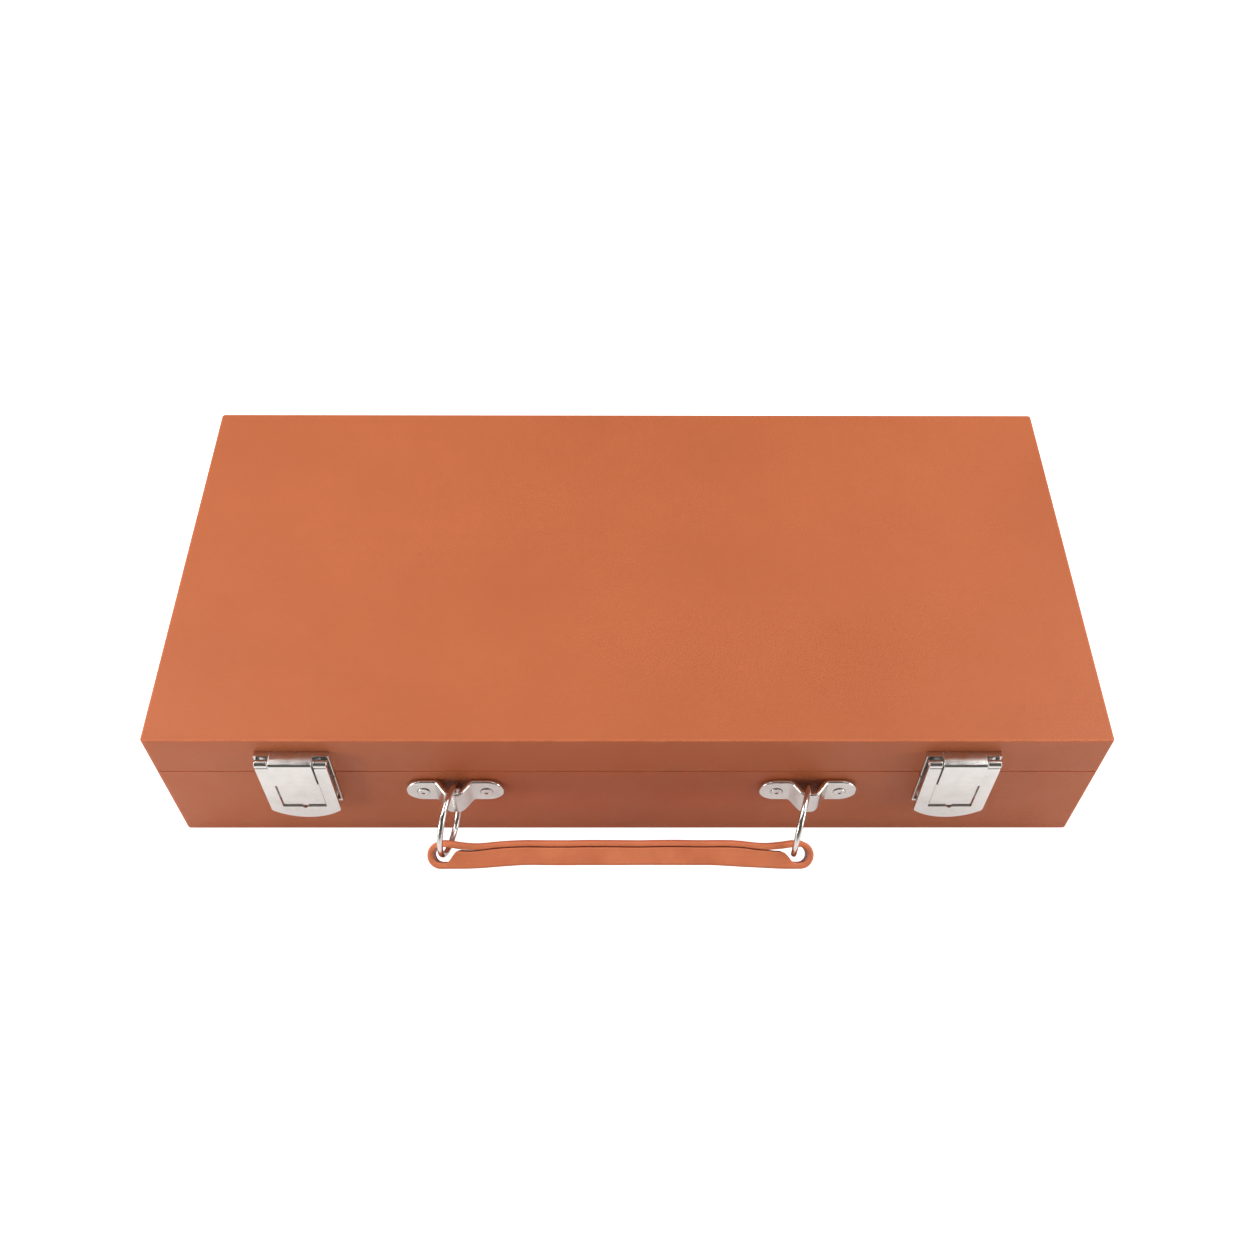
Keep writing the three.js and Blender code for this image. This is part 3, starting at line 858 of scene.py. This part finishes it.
def build_latches():
    """Both latches, from parts made once about x = 0."""
    makers = {
        "lid_plate": lid_plate, "keeper": keeper_plate, "hasp": hasp_frame, "hinge_pin": latch_pin,
    }
    bodies = {"lid_plate": "lid", "keeper": "base", "hinge_pin": "lid"}
    offset = Vector((centre("latch_left_hinge_pin").x, 0, 0))
    for part, make in makers.items():
        source = make(*(corner - offset for corner in limits(f"latch_left_{part}")))
        for side in ("left", "right"):
            node = f"latch_{side}_{part}"
            piece = copied(f"{side}_latch_{part}", source, (centre(node).x, 0, 0))
            settle(piece, bodies.get(part, f"hasp_{side}"), "nickel", node)
        bpy.data.objects.remove(source)


# ---- handle

# The brackets' thickness, and how far each rivet is from a bracket's middle.
METAL, RIVET_APART = 2.0, 12.9


def ramp(value, start, end):
    """0 before start, 1 after end and a smooth rise between."""
    share = min(max((value - start) / (end - start), 0), 1)
    return share * share * (3 - 2 * share)


def bracket_depth(u, crown):
    """How far the middle of the strip stands out, at a distance u along the bracket."""
    foot, top = 7.9, 1.6
    return METAL / 2 + (crown - METAL / 2) * ramp(-abs(u), -foot, -top)


def build_bracket(name, node):
    """A round-ended strip bent outwards in the middle, built as sections along its length."""
    low, high = limits(node)
    middle = (low + high) / 2
    half_length, half_height = (high.x - low.x) / 2, (high.z - low.z) / 2
    crown = FRONT - low.y - METAL / 2
    edge, stations, step, thinnest = 0.75, 96, 0.05, 0.004
    pocket_radius, pocket_deep = 2.8, 0.5
    loops = []
    for i in range(stations + 1):
        u = -half_length * cos(pi * i / stations)
        to_tip = max(half_length - abs(u), thinnest)
        reach = min(to_tip, half_height)
        height = sqrt(half_height ** 2 - (half_height - reach) ** 2)
        round_in = edge - min(to_tip, edge)
        thick = METAL / 2 - edge + sqrt(edge ** 2 - round_in ** 2)
        depth = bracket_depth(u, crown)
        slope = (bracket_depth(u + step, crown) - bracket_depth(u - step, crown)) / (2 * step)
        normal = Vector((-slope, 1)).normalized()
        loops.append([
            (middle.x + u + normal.x * t, FRONT - depth - normal.y * t, middle.z + z)
            for z, t in box_outline((-height, height), (-thick, thick), edge)
        ])
    strip = loft(name, loops, NICKEL)
    for sign in (-1, 1):
        outline = circle(middle.x + sign * RIVET_APART, middle.z, pocket_radius, 40)
        span = (METAL - pocket_deep, METAL + 2)
        pocket = plate("pocket", outline, span, 0, on_front, NICKEL)
        carve(strip, pocket, "DIFFERENCE")
    settle(strip, "base", "nickel", node)


def build_rivets(name, node):
    """A rolled rivet head, with the dimple that its tool leaves, on each tab of a bracket."""
    middle = centre(node)
    side = [(2.42, -0.6, 0), (2.42, 0.45, 0.4), (1.3, 0.6, 0.4), (0.85, 0.1, 0.25), (0.05, 0.05, 0)]
    profile = soften([(radius, METAL + rise, bend) for radius, rise, bend in side], 5, closed=False)
    parts = []
    for x in (middle.x - RIVET_APART, middle.x + RIVET_APART):
        rivet = spun("rivet", profile, lambda u, v, w: on_front(x + u, middle.z + v, w), NICKEL)
        parts.append(rivet)
    settle(merged(name, parts), "base", "nickel")


def build_ring(name, side):
    """A round wire ring, turned to its joint's axis."""
    wire = 1.2
    axis = Vector(joint(f"ring_{side}_turn")["axis"]).normalized()
    low, high = limits(f"ring_{side}")
    middle = (low + high) / 2
    up = Vector((0, 0, 1))
    out = axis.cross(up)
    loops = []
    for a, b in circle(0, 0, 1, 72):
        away = out * a + up * b
        hub = middle + away * ((high.z - low.z) / 2 - wire)
        loops.append([hub + away * wire * u + axis * wire * v for u, v in circle(0, 0, 1, 18)])
    settle(loft(name, loops, NICKEL, ring=True), f"ring_{side}", "nickel", f"ring_{side}")


# The strap's band: how far its near and far sides are from the axis it swings about, how thick its
# bare layer is, and its width.
STRAP_NEAR, STRAP_FAR, STRAP_SKIN, STRAP_WIDE = 8.0, 19.0, 2.3, 11.0


def strap_runs(x, left, right):
    """Outer side and thickness of the near run and of the far run, at a place along the strap.
    From a shoulder near each ring, the far run is padded until a narrow slit is left."""
    shoulder, rise, gap, shut = (7.7, 4.5, 0.4, 23) if x < 0 else (7.4, 5.2, 0.9, 19)
    slit, waist, waist_at, waist_long = 0.4, 1.2, 19, 9
    from_end = min(x - left, right - x)
    settled = ramp(from_end, 6, 12)
    dip = waist * exp(-((from_end - waist_at) / waist_long) ** 2)
    near = STRAP_NEAR + settled * (dip + 0.25 * noise.noise(Vector((x / 13, 1.7, 3.1))))
    near_thick = STRAP_SKIN - 0.25 * ramp(from_end, 14, 30)
    wave = 0.2 * settled * noise.noise(Vector((x / 17, 6, 0)))
    far = STRAP_FAR - 1.5 * ramp(from_end, 9, 45) + wave
    opening = gap * (1 - ramp(from_end, shoulder + rise, shut))
    filled = far - near - near_thick - opening - slit
    far_thick = STRAP_SKIN + (filled - STRAP_SKIN) * ramp(from_end, shoulder, shoulder + rise)
    return (near, near_thick), (far, far_thick)


def strap_path(left, right):
    """Stations round the band: place along it, distance out, the outward normal and thickness."""
    radius = (STRAP_FAR - STRAP_NEAR) / 2
    middle = (STRAP_FAR + STRAP_NEAR) / 2
    count, arc = 120, 22
    ends = left + radius, right - radius
    path = []
    for start, end, run, side in ((*ends, 1, 1), (*reversed(ends), 0, -1)):
        for i in range(count):
            x = start + (end - start) * i / count
            outside, thick = strap_runs(x, left, right)[run]
            path.append((x, outside, 0, side, thick))
        for i in range(arc):
            a = side * pi / 2 - pi * i / arc
            out_x, out_y = cos(a), sin(a)
            spot = end + radius * out_x, middle + radius * out_y
            path.append((*spot, out_x, out_y, STRAP_SKIN))
    return path


def build_strap():
    """One leather band that runs round both rings and back, with soft outer edges."""
    pivot = Vector(joint("handle_swing")["pos_m"]) / MM
    droop = radians(30)
    outwards = Vector((0, -cos(droop), -sin(droop)))
    sideways = Vector((0, -sin(droop), cos(droop)))
    low, high = limits("handle_strap")
    half = STRAP_WIDE / 2
    soft, crisp = 0.95, 0.45
    loops = []
    for x, start, normal_x, normal_out, thick in strap_path(low.x, high.x):
        section = soften([
            (0, -half, soft), (thick, -half, crisp), (thick, half, crisp), (0, half, soft),
        ], 5)
        loop = []
        for inset, side in section:
            along = Vector((x - normal_x * inset, pivot.y, pivot.z))
            loop.append(along + outwards * (start - normal_out * inset) + sideways * side)
        loops.append(loop)
    settle(loft("handle", loops, STRAP, ring=True), "handle", "strap_leather", "handle_strap")


def build_handle():
    for side in ("left", "right"):
        build_bracket(f"{side}_bracket", f"bracket_{side}")
        build_rivets(f"{side}_bracket_rivets", f"bracket_{side}")
        build_ring(f"{side}_ring", side)
    build_strap()


# ---- playing pieces

def checker_mesh(finish):
    """A disc with rounded edges and a turned dish in each face."""
    low, high = limits("checker_ivory_01")
    radius, half = 12.5, (high.y - low.y) / 2
    dish, step, groove = half - 0.9, half - 0.15, half - 0.5
    side = [
        (0.05, dish, 0), (6.2, dish, 0.8), (7.6, step, 0.4), (8.4, step, 0.3),
        (8.9, groove, 0.3), (9.5, half, 0.4), (radius, half, 1.3),
    ]
    other = [(r, -h, bend) for r, h, bend in side]
    profile = soften(other + side[::-1], 4, closed=False)
    return spun("checker", profile, standing, finish, count=48)


def build_checkers():
    for colour, finish in (("ivory", IVORY), ("brown", BROWN)):
        source = checker_mesh(finish)
        turns = random.Random(7)
        for number in range(1, 16):
            node = f"checker_{colour}_{number:02d}"
            turn = Matrix.Rotation(turns.uniform(0, 2 * pi), 3, "Y")
            piece = copied(f"{colour}_checker_{number:02d}", source, centre(node), turn)
            settle(piece, "base", f"{colour}_resin", node)
        bpy.data.objects.remove(source)


PIPS = {
    1: [(0, 0)],
    2: [(-1, -1), (1, 1)],
    3: [(-1, -1), (0, 0), (1, 1)],
    4: [(-1, -1), (-1, 1), (1, -1), (1, 1)],
    5: [(-1, -1), (-1, 1), (0, 0), (1, -1), (1, 1)],
    6: [(-1, -1), (-1, 0), (-1, 1), (1, -1), (1, 0), (1, 1)],
}
# Each number with the turn that brings the top of the die to its face, made of quarter turns.
QUARTERS = {1: (0, "X"), 6: (2, "X"), 2: (1, "X"), 5: (-1, "X"), 3: (1, "Y"), 4: (-1, "Y")}
DIE_FACES = {
    number: Matrix.Rotation(quarters * pi / 2, 3, axis)
    for number, (quarters, axis) in QUARTERS.items()
}


def die_mesh(finish, pip_finish):
    """A rounded cube with its pips drilled as shallow dimples."""
    size, edge = 12.0, 1.6
    apart, pip, sunk = size * 0.25, size * 0.1, size * 0.045
    half = Vector((size / 2,) * 3)
    die = slab("die", -half, half, edge, edge, finish, pip_finish)
    bowl = [
        (pip * sin(a), half.z - sunk + pip * 1.1 * (1 - cos(a)))
        for a in (0.05, 0.45, 0.85, 1.25, 1.57)
    ]
    bowl.append((pip, half.z + pip))
    drills = []
    for number, turn in DIE_FACES.items():
        for u, v in PIPS[number]:
            drill = spun("drill", bowl, lying, pip_finish, count=16)
            shift = Matrix.Translation(Vector((u, v, 0)) * apart * MM)
            drill.data.transform(turn.to_4x4() @ shift)
            drills.append(drill)
    return carve(die, merged("pips", drills), "DIFFERENCE")


def build_dice():
    tops = {"die_ivory_1": 3, "die_ivory_2": 5, "die_brown_1": 6, "die_brown_2": 1}
    turns = {"die_ivory_1": 12, "die_ivory_2": -27, "die_brown_1": 33, "die_brown_2": -9}
    for colour, finish, pip_finish in (("ivory", IVORY, INK), ("brown", BROWN, IVORY)):
        source = die_mesh(finish, pip_finish)
        for number in (1, 2):
            node = f"die_{colour}_{number}"
            spin = Matrix.Rotation(radians(turns[node]), 3, "Z")
            turn = spin @ DIE_FACES[tops[node]].inverted()
            piece = copied(f"{colour}_die_{number}", source, centre(node), turn)
            settle(piece, "base", f"{colour}_resin", node)
        bpy.data.objects.remove(source)


def numeral(text, size, depth, finish):
    """A number as a thin solid, centred and facing up."""
    curve = bpy.data.curves.new("numeral", "FONT")
    curve.body = text
    curve.size = size * MM
    curve.extrude = depth / 2 * MM
    curve.align_x = "CENTER"
    curve.align_y = "CENTER"
    letters = shown("numeral", curve)
    data = as_mesh(letters)
    bpy.data.objects.remove(letters)
    data.materials.clear()
    data.materials.append(finish)
    return shown("numeral", data)


def build_doubling_cube():
    edge, depth = 2.2, 0.3
    low, high = limits("doubling_cube")
    half = (high - low) / 2
    cube = slab("doubling_cube_body", low, high, edge, edge, IVORY)
    settle(cube, "base", "ivory_resin", "doubling_cube")
    lift = Matrix.Translation(Vector((0, 0, half.z * MM)))
    numbers = []
    for text, face in {"64": 1, "2": 6, "4": 2, "32": 5, "8": 3, "16": 4}.items():
        number = numeral(text, 12 if len(text) == 1 else 10, depth, INK)
        number.data.transform(DIE_FACES[face].to_4x4() @ lift)
        number.data.transform(Matrix.Translation((low + half) * MM))
        numbers.append(number)
    settle(merged("doubling_cube_numbers", numbers), "base", "brown_resin")


def build_cups():
    """Oval dice cups in stitched leatherette, lined with cloth."""
    wall, floor, lip, foot = 2.2, 3.0, 1.0, 1.2
    bead, pitch, thread, from_rim = 1.1, 1.6, 0.2, 3.2
    for side in ("left", "right"):
        node = f"dice_cup_{side}"
        low, high = limits(node)
        middle = (low + high) / 2
        half = (high - low).xy / 2
        outer = soften([
            (6, low.z, 0), (0, low.z, foot), (0, high.z, lip), (wall / 2, high.z, 0),
        ], 4, closed=False)
        inner = soften([
            (wall / 2, high.z, 0), (wall, high.z, lip), (wall, low.z + floor, foot),
            (7, low.z + floor, 0),
        ], 4, closed=False)
        loops = []
        for inset, z in outer + inner[1:]:
            size = half.x - inset, half.y - inset
            loops.append(rounded_loop(middle.xy, size, size[0] * NEAR_ALL, z, 10))
        cup = loft(f"{side}_dice_cup", loops, CUP_LEATHER, LINING, inner_from=len(outer))
        settle(cup, "base", "cup_leather", node)
        rows = []
        for z in (high.z - from_rim, low.z + from_rim):
            path = rounded_loop(middle.xy, half, half.x * NEAR_ALL, z, 24)
            path += path[:1]
            rows.append(stitches("row", path, (0, 0, 0), THREAD, bead, pitch, thread))
        settle(merged(f"{side}_dice_cup_stitches", rows), "base", "stitch_thread")


def build_pieces():
    build_checkers()
    build_dice()
    build_doubling_cube()
    build_cups()


# ---- floor, light and camera

def build_stage():
    """A plain pale floor, bright to look at but giving off less light than it seems to."""
    half, z = 3.0, BASE_LOW.z * MM - 0.0004
    data = bpy.data.meshes.new("floor")
    corners = [(-half, -half, z), (half, -half, z), (half, half, z), (-half, half, z)]
    data.from_pydata(corners, [], [(0, 1, 2, 3)])
    floor = shown("floor", data)
    to_look_at, in_mirrors, given_off = 0.95, 0.3, 0.02
    made, tree, shader, where = material("pale_floor", Roughness=0.9)
    speck = remap(tree, noise_of(tree, where, 30, 3), 0.3, 0.7, 0, 1)
    tone = mixed(tree, speck, (0.80, 0.80, 0.80, 1), (0.77, 0.77, 0.77, 1))
    tree.links.new(tone, shader.inputs["Base Color"])
    shader.inputs["Emission Color"].default_value = (1, 1, 1, 1)
    rays = add(tree, "LightPath", {}).outputs
    seen = sums(tree, "MULTIPLY", rays["Is Camera Ray"], to_look_at)
    mirrored = sums(tree, "MULTIPLY", rays["Is Glossy Ray"], in_mirrors)
    glow = sums(tree, "ADD", sums(tree, "ADD", seen, mirrored), given_off)
    tree.links.new(glow, shader.inputs["Emission Strength"])
    data.materials.append(made)


def build_world():
    """Pale at the horizon and dim overhead for the plate to mirror, and white to look at."""
    world = bpy.data.worlds.new("studio")
    bpy.context.scene.world = world
    world.use_nodes = True
    tree = world.node_tree
    direction = add(tree, "TexCoord", {}).outputs["Generated"]
    height = add(tree, "SeparateXYZ", {0: direction}).outputs["Z"]
    horizon, zenith, backdrop = (0.40, 0.39, 0.38, 1), (0.20, 0.17, 0.15, 1), (2.1, 2.1, 2.1, 1)
    sky = mixed(tree, remap(tree, height, 0.1, 0.5, 0, 1), horizon, zenith)
    seen = add(tree, "LightPath", {}).outputs["Is Camera Ray"]
    colour = mixed(tree, seen, sky, backdrop)
    tree.links.new(colour, tree.nodes["Background"].inputs["Color"])
    tree.nodes["Background"].inputs["Strength"].default_value = 0.5


def area_light(name, position, size, power):
    """A white rectangular light, aimed at the middle of the floor."""
    light = bpy.data.lights.new(name, "AREA")
    light.shape = "RECTANGLE"
    light.size, light.size_y = size
    light.energy = power
    lamp = shown(name, light)
    lamp.location = position
    lamp.rotation_euler = (-Vector(position)).to_track_quat("-Z", "Y").to_euler()


def build_lights():
    area_light("softbox_left", (-1.0, 0.3, 1.1), (0.9, 0.9), 12.5)
    area_light("softbox_right", (1.0, 0.3, 1.1), (0.9, 0.9), 12.5)
    area_light("strip_above", (0, -0.1, 1.2), (1.6, 0.12), 0.8)
    area_light("fill_left", (-0.6, -0.26, 0.16), (0.25, 0.25), 1.25)
    area_light("fill_right", (0.6, -0.26, 0.16), (0.25, 0.25), 0.95)


def build_camera():
    """High in front of the case, looking down at it and very slightly turned."""
    position = Vector((-0.0031, -0.3569, 0.5110))
    elevation = radians(53.30)
    yaw = radians(-0.49)
    roll = radians(0.43)
    data = bpy.data.cameras.new("camera")
    data.sensor_width = 36
    data.lens = 37.76
    data.clip_start = 0.01
    camera = shown("camera", data)
    look = Matrix.Rotation(yaw, 3, "Z") @ Matrix.Rotation(pi / 2 - elevation, 3, "X")
    look = look @ Matrix.Rotation(roll, 3, "Z")
    camera.matrix_world = Matrix.Translation(position) @ look.to_4x4()
    bpy.context.scene.camera = camera


build_camera()
build_case()
build_fields()
build_points()
build_trim()
build_hinge()
build_latches()
build_handle()
build_pieces()
build_stage()
build_world()
build_lights()
bpy.context.scene.view_settings.view_transform = "Standard"
